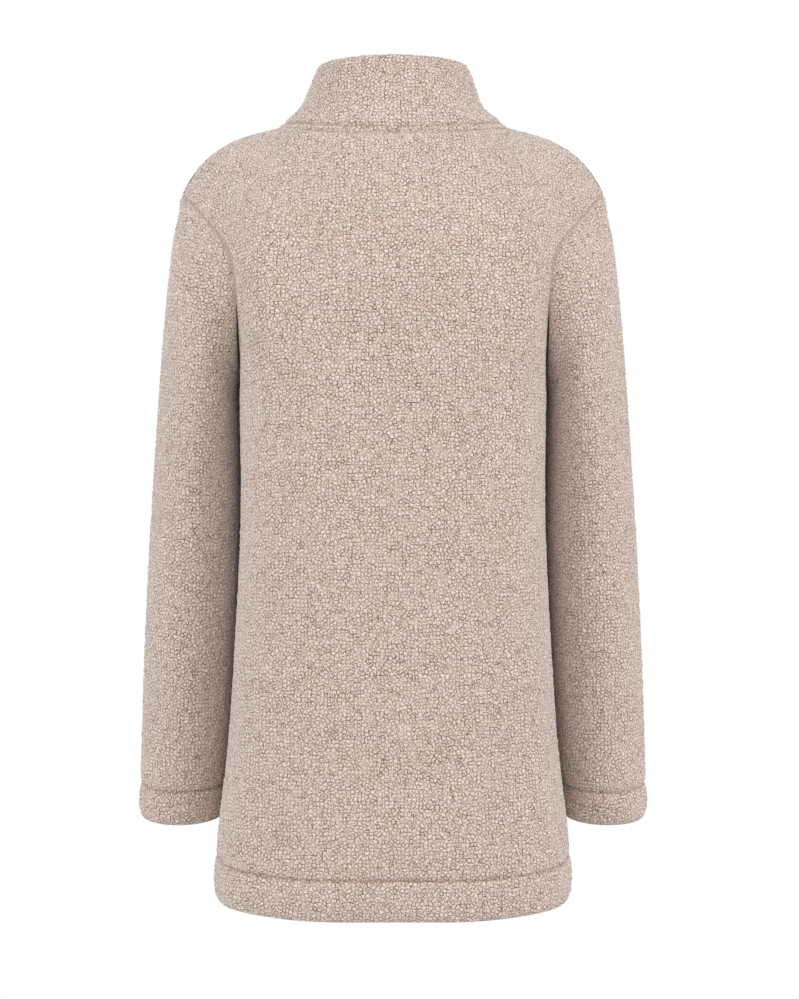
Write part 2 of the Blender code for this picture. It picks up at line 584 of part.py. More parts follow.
def make_collar(collar, finish):
    """The collar: outside up to its rounded top, and down the inside."""
    count, width = collar.points.shape[:2]
    heights = np.array([height for height, _ in COLLAR_PROFILE] + [1.0])
    from_zip = np.clip(np.arange(width) / 3 - 1 / 3, 0, 1)[None]
    thick = CLOTH + (COLLAR_EDGE - CLOTH) * np.minimum(1, heights / 0.25)[:, None] * from_zip
    fade = np.clip(np.arange(count) / 2, 0, 1)[:, None]
    halves = []
    for sign in (1, -1):
        dent = fold_depth("collar_back", sign * collar.points[..., 0], collar.points[..., 2])
        dent = dent * fade * (collar.points[..., 1] > -0.02)
        outer, inner = collar.layers(np.zeros(dent.shape), thick, dent)
        across = inner[-1] - outer[-1]
        crown = [outer[-1] + share * across + (0, 0, lift)
                 for share, lift in ((0.16, -0.0002), (0.5, 0.0008), (0.84, -0.0002))]
        halves.append([layer * (sign, 1, 1) for layer in [*outer[:-1], *crown, *inner[-2::-1]]])
    layers = [np.vstack([left, right[-2::-1]]) for left, right in zip(*halves)]
    wall("collar", layers, finish, rims=(len(layers) - 1,))


# ---- the zip ---------------------------------------------------------------------------------------

def zip_line(front, collar, col=0):
    """The zip's path from the hem up a line of the cloth: points, outward directions and distances."""
    points = np.vstack([front.points[::-1, col], collar.points[1:, col]])
    outward = np.vstack([front.normals[::-1, col], collar.normals[1:, col]])
    run = np.concatenate([[0], np.cumsum(np.linalg.norm(np.diff(points * (0, 1, 1), axis=0), axis=1))])
    return points, outward, run


def at_distance(line, distance):
    """A point on the centre line of the zip's path, and its directions up the zip and out of the jacket."""
    points, directions, run = line
    point, outward = (np.array([np.interp(distance, run, values[:, i]) for i in range(3)])
                      for values in (points * (0, 1, 1), directions))
    outward = unit(outward)
    return point, np.array([0, outward[2], -outward[1]]), outward


def stops_between(line, low, high):
    """Distances along the zip's path with a stop at each of its points between two ends."""
    return [low, *(stop for stop in line[2] if low + 0.001 < stop < high - 0.001), high]


def tape(name, line, next_line, sign, span, finish):
    """A woven tape behind the cloth's front edge, bent as the cloth is, from its first and next columns."""
    layers = [[], [], [], []]
    inner_x = CHAIN_HALF_WIDTH + SEAM_GAP

    def read(values, distance):
        return np.array([np.interp(distance, line[2], values[:, i]) for i in range(3)])

    for distance in stops_between(line, *span):
        point, outward = (read(values, distance) for values in line[:2])
        next_point, next_outward = (read(values, distance) for values in next_line[:2])
        corners = ((inner_x, TAPE_DEPTH[0]), (inner_x + TAPE_WIDTH, TAPE_DEPTH[0]),
                   (inner_x + TAPE_WIDTH, TAPE_DEPTH[1]), (inner_x, TAPE_DEPTH[1]))
        for layer, (x, depth) in zip(layers, corners):
            share = (x - point[0]) / (next_point[0] - point[0])
            here = point + share * (next_point - point)
            layer.append((here - unit(outward + share * (next_outward - outward)) * depth) * (sign, 1, 1))
    return wall(name, layers, finish)


def chain(name, line, span, finish):
    """The closed teeth as one plain bar along the centre line."""
    layers = [[], [], [], []]
    for distance in stops_between(line, *span):
        point, _, outward = at_distance(line, distance)
        near, far = CHAIN_DEPTH
        corners = ((-1, near), (1, near), (1, far), (-1, far))
        for layer, (side, depth) in zip(layers, corners):
            layer.append(point - outward * depth + np.array([side * CHAIN_HALF_WIDTH, 0, 0]))
    return wall(name, layers, finish)


def prism(outline, depth):
    """A bmesh of a flat outline drawn out by a vector."""
    bm = bmesh.new()
    bottom = [bm.verts.new(point) for point in outline]
    top = [bm.verts.new(np.array(point) + depth) for point in outline]
    bm.faces.new(bottom)
    bm.faces.new(top[::-1])
    for i in range(len(outline)):
        j = (i + 1) % len(outline)
        bm.faces.new((bottom[j], bottom[i], top[i], top[j]))
    return bm


def placed(bm, origin, upward, outward):
    """Turns a bmesh drawn with +Z up the zip and -Y out of the jacket to its place on the zip."""
    across = np.array([1.0, 0, 0])
    for vert in bm.verts:
        x, y, z = vert.co
        vert.co = origin + across * x - outward * y + upward * z


def combine(piece, other, operation):
    """Adds another object to a piece, or cuts it away, and keeps the other as a guide only."""
    step = piece.modifiers.new(other.name, "BOOLEAN")
    step.operation = operation
    step.solver = "EXACT"
    step.object = other
    other.hide_render = True
    other.display_type = "WIRE"


def make_zip(line, next_line, tape_finish, teeth_finish, metal):
    """Tapes, chain, bottom box, slider and pull."""
    total = line[2][-1]
    slider_at = total - SLIDER_FROM_TOP
    tape_span = (TAPE_FROM_ENDS[0], total - TAPE_FROM_ENDS[1])
    for side, sign in (("left", 1), ("right", -1)):
        tape("zip_tape_" + side, line, next_line, sign, tape_span, tape_finish)
    chain("zip_chain", line, (ZIP_BOX_TOP + SEAM_GAP, slider_at - 0.0010), teeth_finish)

    half = 0.0045
    point, upward, outward = at_distance(line, ZIP_BOX_TOP - half)
    bm = bmesh.new()
    box_mesh(bm, (-CHAIN_HALF_WIDTH, 0.0024, -half), (CHAIN_HALF_WIDTH, 0.0058, half))
    bmesh.ops.bevel(bm, geom=bm.edges[:], offset=0.0006, segments=1, affect="EDGES")
    placed(bm, point, upward, outward)
    add_object("zip_box", bm, teeth_finish)

    # the slider: two plates round the chain, joined by a narrow post above the chain's end, and a bail
    point, upward, outward = at_distance(line, slider_at)
    half = SLIDER_LENGTH / 2
    parts = (
        ("zip_slider", (-SLIDER_HALF_WIDTH, 0.0014, -half), (SLIDER_HALF_WIDTH, 0.0026, half)),
        ("slider_plate", (-SLIDER_HALF_WIDTH, 0.0060, -half), (SLIDER_HALF_WIDTH, 0.0072, half)),
        ("slider_post", (-0.0014, 0.0020, 0.0004), (0.0014, 0.0066, half - 0.001)),
    )
    bail = ((0.0020, 0.0033), (-0.0014, 0.0033), (-0.0014, -0.0033), (0.0020, -0.0033),
            (0.0020, -0.0022), (-0.0005, -0.0022), (-0.0005, 0.0022), (0.0020, 0.0022))
    made = []
    for name, low, high in parts:
        bm = bmesh.new()
        box_mesh(bm, low, high)
        if name in ("zip_slider", "slider_plate"):
            corners = [e for e in bm.edges if abs(e.verts[0].co.y - e.verts[1].co.y) > 0.001]
            bmesh.ops.bevel(bm, geom=corners, offset=0.0016, segments=3, affect="EDGES")
        placed(bm, point, upward, outward)
        made.append(add_object(name, bm, metal))
    bm = prism([(-0.0006, y, z) for y, z in bail], (0.0012, 0, 0))
    placed(bm, point, upward, outward)
    made.append(add_object("slider_bail", bm, metal))
    for other in made[1:]:
        combine(made[0], other, "UNION")

    # the pull: an eye round the bail, and a tab that lies down the chain
    axis = point - outward * PULL_DEPTH
    half_thick, eye_half, eye_foot = 0.00045, 0.0011, -0.0046
    outline = ((0.0017, half_thick), (0.0024, -0.0006), (0.0024, eye_foot - 0.0006), (0.0019, -0.0080),
               (0.0026, -PULL_LENGTH + 0.0022), (0.0017, -PULL_LENGTH))
    rim = [*outline, *((-x, z) for x, z in outline[::-1])]
    bm = prism([(x, -half_thick, z) for x, z in rim], (0, 2 * half_thick, 0))
    placed(bm, axis, upward, outward)
    pull = add_object("zip_pull", bm, metal)
    bm = bmesh.new()
    box_mesh(bm, (-eye_half, -0.003, eye_foot), (eye_half, 0.003, -half_thick))
    placed(bm, axis, upward, outward)
    combine(pull, add_object("pull_eye_cut", bm, metal), "DIFFERENCE")
    print("the pull turns about X through", [round(float(value), 5) for value in axis])


def main():
    for item in list(bpy.data.objects):
        bpy.data.objects.remove(item)
    sherpa = material("sherpa", (0.63, 0.51, 0.43), 0.95)
    woven = material("zip_tape", (0.50, 0.41, 0.35), 0.85)
    teeth = material("zip_teeth", (0.42, 0.34, 0.29), 0.45)
    metal = material("zip_metal", (0.55, 0.53, 0.50), 0.30, 0.9)
    back, front, sleeve, collar = sewn_pieces()
    make_body(back, front, sherpa)
    make_sleeves(sleeve, sherpa)
    make_collar(collar, sherpa)
    make_zip(zip_line(front, collar), zip_line(front, collar, 1), woven, teeth, metal)


main()
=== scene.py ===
import math

import bmesh
import bpy
import numpy as np
from mathutils import Matrix, Vector, kdtree
from mathutils.bvhtree import BVHTree


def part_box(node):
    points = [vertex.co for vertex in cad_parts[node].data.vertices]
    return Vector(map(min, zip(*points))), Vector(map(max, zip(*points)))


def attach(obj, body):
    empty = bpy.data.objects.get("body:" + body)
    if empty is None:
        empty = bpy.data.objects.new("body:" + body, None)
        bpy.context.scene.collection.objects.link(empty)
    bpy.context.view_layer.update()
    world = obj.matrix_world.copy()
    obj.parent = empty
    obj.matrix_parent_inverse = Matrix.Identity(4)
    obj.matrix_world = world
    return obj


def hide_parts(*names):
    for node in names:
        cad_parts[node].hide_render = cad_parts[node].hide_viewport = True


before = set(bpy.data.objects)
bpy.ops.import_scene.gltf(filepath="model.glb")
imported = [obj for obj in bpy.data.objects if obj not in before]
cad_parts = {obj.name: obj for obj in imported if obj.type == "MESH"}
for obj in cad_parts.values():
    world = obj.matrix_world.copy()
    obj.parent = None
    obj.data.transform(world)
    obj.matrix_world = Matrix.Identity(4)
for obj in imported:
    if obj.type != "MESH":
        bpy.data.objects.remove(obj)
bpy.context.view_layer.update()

bpy.ops.object.select_all(action="DESELECT")


# node trees are wired up with these two, for the materials and for the pile
class Wire:
    # a socket that can be added, subtracted, multiplied and divided like a number
    def __init__(self, board, socket):
        self.board, self.socket = board, socket

    def maths(self, operation, other, turned=False):
        pair = (other, self) if turned else (self, other)
        return self.board.node("ShaderNodeMath", {"operation": operation}, dict(enumerate(pair)))

    def __add__(self, other):
        return self.maths("ADD", other)

    def __sub__(self, other):
        return self.maths("SUBTRACT", other)

    def __rsub__(self, other):
        return self.maths("SUBTRACT", other, True)

    def __mul__(self, other):
        return self.maths("MULTIPLY", other)

    def __truediv__(self, other):
        return self.maths("DIVIDE", other)

    __radd__, __rmul__ = __add__, __mul__


class Board:
    # a node tree to wire up
    def __init__(self, tree):
        self.tree = tree
        tree.nodes.clear()

    def node(self, kind, settings=None, sockets=None, output=0):
        made = self.tree.nodes.new(kind)
        for name, value in (settings or {}).items():
            setattr(made, name, value)
        for name, value in (sockets or {}).items():
            if isinstance(value, Wire):
                self.tree.links.new(value.socket, made.inputs[name])
            else:
                made.inputs[name].default_value = value
        return Wire(self, made.outputs[output]) if made.outputs else made

    def vector(self, operation, *values):
        return self.node("ShaderNodeVectorMath", {"operation": operation}, dict(enumerate(values)))

    def noise(self, place, size, detail=2.0, output="Fac"):
        return self.node("ShaderNodeTexNoise", None,
                         {"Vector": place, "Scale": 1 / size, "Detail": detail}, output)

    def between(self, value, low, high, fromValue=0.0, toValue=1.0):
        return self.node("ShaderNodeMapRange", {"interpolation_type": "SMOOTHSTEP"},
                         {0: value, 1: low, 2: high, 3: fromValue, 4: toValue})

    def mixColour(self, share, first, second):
        colours = [value if isinstance(value, Wire) else (*value, 1) for value in (first, second)]
        return self.node("ShaderNodeMix", {"data_type": "RGBA"},
                         {0: share, 6: colours[0], 7: colours[1]}, 2)

    def mixNumber(self, share, first, second):
        return self.node("ShaderNodeMix", {"data_type": "FLOAT"}, {0: share, 2: first, 3: second})


curls = {
    "size": 0.0036,         # across one curl
    "smallSize": 0.0021,
    "smallShare": 0.42,
    "roundness": 0.40,      # share of a curl from its gap up to its crown
    "wander": 0.0012,       # how far the curls are pushed out of an even pattern
    "wanderSize": 0.0034,
    "depth": 0.0016,        # from the crowns down to the gaps
    "tuftSize": 0.007,      # curls lean together in tufts
    "tuftDepth": 0.0012,
    "proud": 0.0010,        # how far the tips stand out of the solid
}


def curlPattern(board, place):
    # the crowns are 1 and the gaps beside them 0, and small curls break up the large ones
    push = board.vector("SUBTRACT", board.noise(place, curls["wanderSize"], 2.0, "Color"), (0.5,) * 3)
    bent = board.vector("MULTIPLY_ADD", push, (2 * curls["wander"],) * 3, place)
    crowns = []
    for size in (curls["size"], curls["smallSize"]):
        cells = {"Vector": bent, "Scale": 1 / size, "Randomness": 0.9}
        toGap = board.node("ShaderNodeTexVoronoi",
                           {"feature": "DISTANCE_TO_EDGE", "voronoi_dimensions": "2D"}, cells, "Distance")
        crowns.append(board.between(toGap, 0.0, curls["roundness"]))
    return crowns[0] * (1 - curls["smallShare"]) + crowns[1] * curls["smallShare"]


def curlNodes():
    tree = bpy.data.node_groups.new("raiseCurls", "GeometryNodeTree")
    tree.interface.new_socket("Geometry", in_out="INPUT", socket_type="NodeSocketGeometry")
    tree.interface.new_socket("Geometry", in_out="OUTPUT", socket_type="NodeSocketGeometry")
    board = Board(tree)

    def stored(name, kind="FLOAT"):
        return board.node("GeometryNodeInputNamedAttribute", {"data_type": kind}, {"Name": name})

    place = stored("clothLay", "FLOAT_VECTOR")
    crown = curlPattern(board, place)
    tuft = board.noise(place, curls["tuftSize"], 1.0)
    low = (1 - crown) * curls["depth"] + tuft * curls["tuftDepth"]
    height = (curls["proud"] - low) * stored("pile")
    offset = board.node("ShaderNodeVectorMath", {"operation": "SCALE"},
                        {0: stored("outward", "FLOAT_VECTOR"), "Scale": height})
    moved = board.node("GeometryNodeSetPosition", None,
                       {"Geometry": board.node("NodeGroupInput"), "Offset": offset})
    board.node("NodeGroupOutput", None, {"Geometry": moved})
    return tree


def newMaterial(name):
    made = bpy.data.materials.new(name)
    made.use_nodes = True
    return made, Board(made.node_tree)


def principled(board, sockets, constants):
    shader = board.node("ShaderNodeBsdfPrincipled", None, {**sockets, **constants})
    board.node("ShaderNodeOutputMaterial", None, {"Surface": shader})


fleece = {
    # gap is the backing's brown darkened further as painted shade of the crevices, and it also paints
    # shade into seams and stitch lines; crown is partly a painted highlight on the curl tips
    "gap": (0.200, 0.092, 0.050),
    "body": (0.640, 0.478, 0.395),
    "crown": (0.920, 0.830, 0.780),
    "backing": (0.520, 0.430, 0.370),
    "sheenTint": (1.0, 0.97, 0.94, 1),
    "fibreSize": 0.0011,
    "strandSize": 0.0015,
    "partedSize": 0.0050,   # gaps open and close over this distance
    "patchSize": 0.060,
    "reliefDepth": 0.0016,
}


def fleeceMaterial():
    made, board = newMaterial("sherpaFleece")
    place = board.node("ShaderNodeAttribute", {"attribute_name": "restPlace"}, None, "Vector")
    onCloth = board.node("ShaderNodeUVMap", {"uv_map": "clothLay"})
    pile = board.node("ShaderNodeAttribute", {"attribute_name": "pile"}, None, "Fac")
    press = board.node("ShaderNodeAttribute", {"attribute_name": "press"}, None, "Fac")
    crown = curlPattern(board, onCloth)
    fibres = board.noise(place, fleece["fibreSize"], 3.0)
    strands = board.noise(place, fleece["strandSize"], 2.0)
    patches = board.noise(place, fleece["patchSize"], 2.0)

    # curls have brown gaps, wider in some places than in others, and pale crowns; the gaps are darkened
    # past the knit's own brown as painted shade of the crevices between the curls, and the crowns are
    # made paler as a painted highlight where lit is high
    parted = board.noise(place, fleece["partedSize"], 2.0)
    lit = crown * 0.55 + strands * 1.0 + patches * 0.10
    pale = board.mixColour(board.between(lit, 0.62, 1.16), fleece["body"], fleece["crown"])
    toBody = board.between(crown + strands * 0.5 + parted * 0.9, 0.50, 1.16)
    curled = board.mixColour(toBody, fleece["gap"], pale)
    # seams and stitch lines are darkened towards the gap colour by their press depth, as painted shade in
    # their grooves
    curled = board.mixColour(board.between(press, 0.0003, 0.0018) * 0.45, curled, fleece["gap"])

    # the backing is a fine plain knit
    knit = board.node("ShaderNodeTexWave", {"wave_type": "BANDS", "bands_direction": "Z"},
                      {"Vector": place, "Scale": 90.0, "Distortion": 3.0, "Detail": 1.0}, "Fac")
    knitted = board.mixColour(knit * 0.35 + patches * 0.25, fleece["backing"], fleece["body"])

    relief = board.mixNumber(pile, knit * 0.12, crown * 0.85 + strands * 0.45 + fibres * 0.30)
    bump = board.node("ShaderNodeBump", None,
                      {"Strength": 0.9, "Distance": fleece["reliefDepth"], "Height": relief})
    principled(board, {"Base Color": board.mixColour(pile, knitted, curled), "Normal": bump},
               {"Roughness": 0.95, "Specular IOR Level": 0.2, "Sheen Weight": 0.65,
                "Sheen Roughness": 0.55, "Sheen Tint": fleece["sheenTint"]})
    return made


zipFinish = {
    "tapeDark": (0.27, 0.205, 0.165),
    "tapePale": (0.52, 0.42, 0.355),
    "teethDark": (0.36, 0.28, 0.235),
    "teethPale": (0.46, 0.37, 0.315),
    "metalDull": (0.56, 0.54, 0.51),
    "metalBright": (0.68, 0.66, 0.63),
}


def tapeMaterial():
    made, board = newMaterial("zipTapeWeave")
    place = board.node("ShaderNodeTexCoord", None, None, "Object")
    weave = {"wave_type": "BANDS", "wave_profile": "SIN"}
    along = board.node("ShaderNodeTexWave", {**weave, "bands_direction": "Z"},
                       {"Vector": place, "Scale": 260.0, "Distortion": 0.6}, "Fac")
    across = board.node("ShaderNodeTexWave", {**weave, "bands_direction": "X"},
                        {"Vector": place, "Scale": 330.0, "Distortion": 0.6}, "Fac")
    threads = board.node("ShaderNodeMath", {"operation": "MAXIMUM"}, {0: along, 1: across})
    tone = threads * 0.8 + board.noise(place, 0.012, 2.0) * 0.25
    colour = board.mixColour(tone, zipFinish["tapeDark"], zipFinish["tapePale"])
    bump = board.node("ShaderNodeBump", None, {"Strength": 0.6, "Distance": 0.0003, "Height": threads})
    principled(board, {"Base Color": colour, "Normal": bump},
               {"Roughness": 0.85, "Sheen Weight": 0.15, "Specular IOR Level": 0.3})
    return made


def teethMaterial():
    made, board = newMaterial("zipTeethMoulded")
    place = board.node("ShaderNodeTexCoord", None, None, "Object")
    cloudy = board.noise(place, 0.006, 3.0)
    grain = board.noise(place, 0.0004, 2.0)
    colour = board.mixColour(cloudy, zipFinish["teethDark"], zipFinish["teethPale"])
    bump = board.node("ShaderNodeBump", None, {"Strength": 0.15, "Distance": 0.0001, "Height": grain})
    principled(board, {"Base Color": colour, "Normal": bump, "Roughness": cloudy * 0.2 + 0.28},
               {"Specular IOR Level": 0.5})
    return made


def metalMaterial():
    made, board = newMaterial("zipSatinNickel")
    place = board.node("ShaderNodeTexCoord", None, None, "Object")
    stretched = board.node("ShaderNodeMapping", None, {"Vector": place, "Scale": (6.0, 1.0, 0.5)})
    brushed = board.noise(stretched, 0.0011, 3.0)
    worn = board.noise(place, 0.005, 2.0)
    colour = board.mixColour(worn, zipFinish["metalDull"], zipFinish["metalBright"])
    bump = board.node("ShaderNodeBump", None, {"Strength": 0.12, "Distance": 0.0001, "Height": brushed})
    principled(board, {"Base Color": colour, "Normal": bump, "Roughness": brushed * 0.25 + 0.18},
               {"Metallic": 1.0})
    return made


sewing = {
    "hemBand": 0.038,       # the hem is turned up this far and sewn
    "cuffBand": 0.033,
    "collarStrip": 0.0078,  # a line sewn above the collar's seam
    "zipLine": 0.0108,      # a line sewn beside the zip, from the centre
    "stitchDepth": 0.0016,
    "stitchWidth": 0.0022,
    "seamDepth": 0.0019,    # the pile turns in where two pieces meet
    "seamWidth": 0.0026,
    "closeUp": 0.00010,     # the edges are pushed towards each other, so that no light shows between
    "reach": 0.012,         # a seam is felt no further than this
    "deepest": 0.0020,
    "shoulderEase": 0.8,    # share of the seam's depth that is lost on top of the shoulders
    "pileFade": 0.003,      # the pile gets shorter towards a seam
    "leastPile": 0.25,
    "bandFade": 0.002,      # the pile ends over this distance at the top of a turned band
    "collarEnds": 0.006,    # the collar's front ends are within this of the centre
}

# piece, seen from, start and end as (across, up), width, and depth (less than nothing is a ridge)
creases = [
    ("collar", "back", (-0.0590, 0.0620), (-0.0900, 0.0330), 0.0050, -0.0028),
    ("collar", "back", (-0.0500, 0.0560), (-0.0830, 0.0250), 0.0055, 0.0022),
    ("collar", "back", (0.0850, 0.0330), (0.0560, 0.0150), 0.0070, 0.0012),
    ("collar", "front", (0.0180, 0.0180), (0.0560, 0.0300), 0.0060, 0.0014),
    ("collar", "front", (-0.0200, 0.0380), (-0.0520, 0.0210), 0.0055, 0.0012),
    ("back", "back", (-0.1560, -0.6760), (-0.1690, -0.6710), 0.0035, 0.0016),
    ("back", "back", (-0.1180, -0.1900), (-0.1440, -0.2700), 0.0110, 0.0016),
    ("back", "back", (0.1200, -0.2000), (0.1430, -0.2650), 0.0100, 0.0014),
    ("back", "back", (0.0250, -0.3650), (-0.0500, -0.3900), 0.0160, 0.0011),
    ("front_left", "front", (0.1160, -0.1850), (0.1360, -0.2750), 0.0110, 0.0018),
    ("front_left", "front", (0.0650, -0.1500), (0.0950, -0.2050), 0.0130, 0.0012),
    ("front_left", "front", (0.0500, -0.4300), (0.1050, -0.4080), 0.0150, 0.0012),
    ("front_right", "front", (-0.1180, -0.1900), (-0.1370, -0.2650), 0.0100, 0.0017),
    ("front_right", "front", (-0.0380, -0.4020), (-0.0980, -0.4250), 0.0140, 0.0013),
    ("sleeve_left", "back", (0.1620, -0.3300), (0.1950, -0.3520), 0.0075, 0.0013),
    ("sleeve_left", "back", (0.1660, -0.5600), (0.2050, -0.5450), 0.0090, 0.0010),
    ("sleeve_left", "front", (0.1650, -0.3380), (0.2100, -0.3550), 0.0080, 0.0022),
    ("sleeve_left", "front", (0.1660, -0.3720), (0.2000, -0.3860), 0.0070, 0.0016),
    ("sleeve_left", "front", (0.1750, -0.3050), (0.2050, -0.3120), 0.0065, 0.0012),
    ("sleeve_left", "left", (-0.0350, -0.3450), (0.0050, -0.3600), 0.0080, 0.0013),
    ("sleeve_right", "back", (-0.1620, -0.3450), (-0.1980, -0.3600), 0.0080, 0.0012),
    ("sleeve_right", "back", (-0.1670, -0.5200), (-0.1980, -0.5060), 0.0085, 0.0010),
    ("sleeve_right", "front", (-0.1650, -0.3480), (-0.2120, -0.3600), 0.0080, 0.0021),
    ("sleeve_right", "front", (-0.1670, -0.3820), (-0.1960, -0.3990), 0.0065, 0.0015),
    ("sleeve_right", "front", (-0.1770, -0.3120), (-0.2030, -0.3220), 0.0065, 0.0012),
    ("sleeve_right", "right", (-0.0330, -0.3550), (0.0060, -0.3680), 0.0080, 0.0012),
]

clothPieces = {
    "back": {"triangles": 197000, "flat": (0.475, 0.760), "area": 0.34},
    "front_left": {"triangles": 126000, "flat": (0.235, 0.745), "area": 0.155},
    "front_right": {"triangles": 126000, "flat": (0.235, 0.745), "area": 0.155},
    "sleeve_left": {"triangles": 159000, "flat": (0.370, 0.610), "area": 0.16},
    "sleeve_right": {"triangles": 159000, "flat": (0.370, 0.610), "area": 0.16},
    "collar": {"triangles": 70000, "flat": (0.560, 0.095), "area": 0.048},
}

mesh = {
    "sharp": math.radians(50),      # an edge of the wall, and not a bend in it
    "coarse": 0.0024,               # edges longer than this are halved, until the pile can be raised
    "passes": 4,
    "hemRise": 0.030,               # the hem's edge is no higher than this above the lowest point
    "cuffRise": 0.024,
    "foldRing": 0.002,              # the folded edge is this close to its lowest points
    "bandTop": 0.065,               # the turned bands, and what is near them, are below this
    "heightReach": 0.06,            # and points over this height above the edge aren't measured
}

creaseForm = {
    "facing": 1.6,                  # how fast a crease fades where the cloth turns away
    "ends": 0.02,                   # share of the length that is left off at each end of the fade
    "taper": 0.6,                   # under 1 keeps the depth up for most of the length
    "clear": 0.010,                 # creases fade towards a seam over this distance
}


def select(made):
    bpy.ops.object.select_all(action="DESELECT")
    made.select_set(True)
    bpy.context.view_layer.objects.active = made


def apply(made, kind, **settings):
    step = made.modifiers.new(kind.title(), kind)
    for name, value in settings.items():
        setattr(step, name, value)
    select(made)
    bpy.ops.object.modifier_apply(modifier=step.name)


def places(data):
    flat = np.empty(len(data.vertices) * 3)
    data.vertices.foreach_get("co", flat)
    return flat.reshape(-1, 3)


def normalsOf(data, chosen, sizes):
    # for each point, the direction of the chosen faces around it, and whether it has any
    loops = np.empty(len(data.loops), int)
    data.loops.foreach_get("vertex_index", loops)
    normals = np.empty(len(data.polygons) * 3)
    data.polygons.foreach_get("normal", normals)
    normals = normals.reshape(-1, 3) * chosen[:, None]
    total = np.zeros((len(data.vertices), 3))
    np.add.at(total, loops, np.repeat(normals, sizes, axis=0))
    length = np.linalg.norm(total, axis=1)
    return total / np.maximum(length, 1e-9)[:, None], (length > 0).astype(float)


def storeNumbers(data, name, domain, kind, values):
    made = data.attributes.get(name) or data.attributes.new(name, kind, domain)
    made.data.foreach_set("vector" if kind == "FLOAT_VECTOR" else "value", np.ravel(values))


def mergedCopy(node, name):
    made = bpy.data.objects.new(name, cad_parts[node].data.copy())
    bpy.context.scene.collection.objects.link(made)
    made.data.materials.clear()
    select(made)
    bpy.ops.object.mode_set(mode="EDIT")
    bpy.ops.mesh.select_all(action="SELECT")
    bpy.ops.mesh.remove_doubles(threshold=0.00001)
    bpy.ops.mesh.tris_convert_to_quads(face_threshold=math.radians(40), shape_threshold=math.radians(70))
    bpy.ops.object.mode_set(mode="OBJECT")
    return made


def isLowEdge(low, first, second):
    # an edge of the hem or the cuff, which runs round and not up
    run = first - second
    return max(first.z, second.z) < low + mesh["hemRise"] and abs(run.z) < 0.5 * run.length


def markWall(made):
    # which faces are outside (1), inside (0) or on the edge between (0.5), and which edges are seams
    bm = bmesh.new()
    bm.from_mesh(made.data)
    crease = bm.edges.layers.float.new("crease_edge")
    bm.faces.ensure_lookup_table()
    low = min(vert.co.z for vert in bm.verts)
    sharp = {edge for edge in bm.edges if edge.calc_face_angle(0) > mesh["sharp"]}
    for edge in sharp:
        edge.seam = True
        if not isLowEdge(low, edge.verts[0].co, edge.verts[1].co):
            edge[crease] = 1.0
    groups, group = [], {}
    for face in bm.faces:
        if face in group:
            continue
        found, front = [], [face]
        group[face] = len(groups)
        while front:
            here = front.pop()
            found.append(here)
            for edge in here.edges:
                for beside in edge.link_faces:
                    if edge not in sharp and beside not in group:
                        group[beside] = len(groups)
                        front.append(beside)
        groups.append(found)
    areas = [sum(face.calc_area() for face in found) for found in groups]
    largest = sorted(range(len(groups)), key=lambda i: -areas[i])
    side = np.full(len(bm.faces), 0.5)
    for face, number in group.items():
        if number == largest[0]:
            side[face.index] = 1.0
        elif number == largest[1] and areas[number] > 0.5 * areas[largest[0]]:
            side[face.index] = 0.0
    bm.to_mesh(made.data)
    bm.free()
    storeNumbers(made.data, "side", "FACE", "FLOAT", side)
    return [round(areas[i], 4) for i in largest[:3]]


def layFlat(made, node):
    # the cloth's own flat places in metres, from an unwrap; a sleeve is cut along its inner side first
    while made.data.uv_layers:
        made.data.uv_layers.remove(made.data.uv_layers[0])
    made.data.uv_layers.new(name="clothLay")
    select(made)
    bpy.ops.object.mode_set(mode="EDIT")
    bpy.ops.mesh.select_mode(type="VERT")
    if node.startswith("sleeve"):
        for wall in (1.0, 0.0):
            bpy.ops.mesh.select_all(action="DESELECT")
            bm = bmesh.from_edit_mesh(made.data)
            layer = bm.faces.layers.float.get("side")
            verts = {vert for face in bm.faces if face[layer] == wall for vert in face.verts}
            ends = [vert for vert in verts if any(edge.seam for edge in vert.link_edges)]
            middle = sum(vert.co.z for vert in ends) / len(ends)
            for chosen in ([vert for vert in ends if vert.co.z > middle],
                           [vert for vert in ends if vert.co.z <= middle]):
                min(chosen, key=lambda vert: abs(vert.co.x) + 0.5 * abs(vert.co.y)).select = True
            bmesh.update_edit_mesh(made.data)
            bpy.ops.mesh.shortest_path_select(edge_mode="SELECT")
            bpy.ops.mesh.mark_seam(clear=False)
    bpy.ops.mesh.select_all(action="SELECT")
    bpy.ops.uv.unwrap(method="ANGLE_BASED", margin=0.002)
    bpy.ops.uv.average_islands_scale()
    bpy.ops.object.mode_set(mode="OBJECT")
    data = made.data
    laid = data.uv_layers["clothLay"].data
    flat = np.empty(len(laid) * 2)
    laid.foreach_get("uv", flat)
    flat = flat.reshape(-1, 2)
    flatArea = 0.0
    for face in data.polygons:
        ring = flat[list(face.loop_indices)]
        after = np.roll(ring, -1, axis=0)
        flatArea += 0.5 * abs(np.sum(ring[:, 0] * after[:, 1] - ring[:, 1] * after[:, 0]))
    trueArea = sum(face.area for face in data.polygons)
    laid.foreach_set("uv", (flat * math.sqrt(trueArea / flatArea)).ravel())
    print(node, "laid flat, island scale", round(math.sqrt(trueArea / flatArea), 3))


def heightAboveEdge(node, co, edgePlaces):
    # how far each point is above the hem's or the cuff's edge
    if node.startswith("sleeve"):
        middle = edgePlaces.mean(axis=0)
        normal = np.linalg.svd(edgePlaces - middle)[2][2]
        normal *= np.sign(normal[2])
        return (co - middle) @ normal
    tree = kdtree.KDTree(len(edgePlaces))
    for i, (x, y, z) in enumerate(edgePlaces):
        tree.insert((x, y, 0), i)
    tree.balance()
    height = np.full(len(co), 1.0)
    for i in np.flatnonzero(co[:, 2] < edgePlaces[:, 2].max() + mesh["heightReach"]):
        near = tree.find((co[i, 0], co[i, 1], 0))[1]
        height[i] = co[i, 2] - edgePlaces[near, 2]
    return height


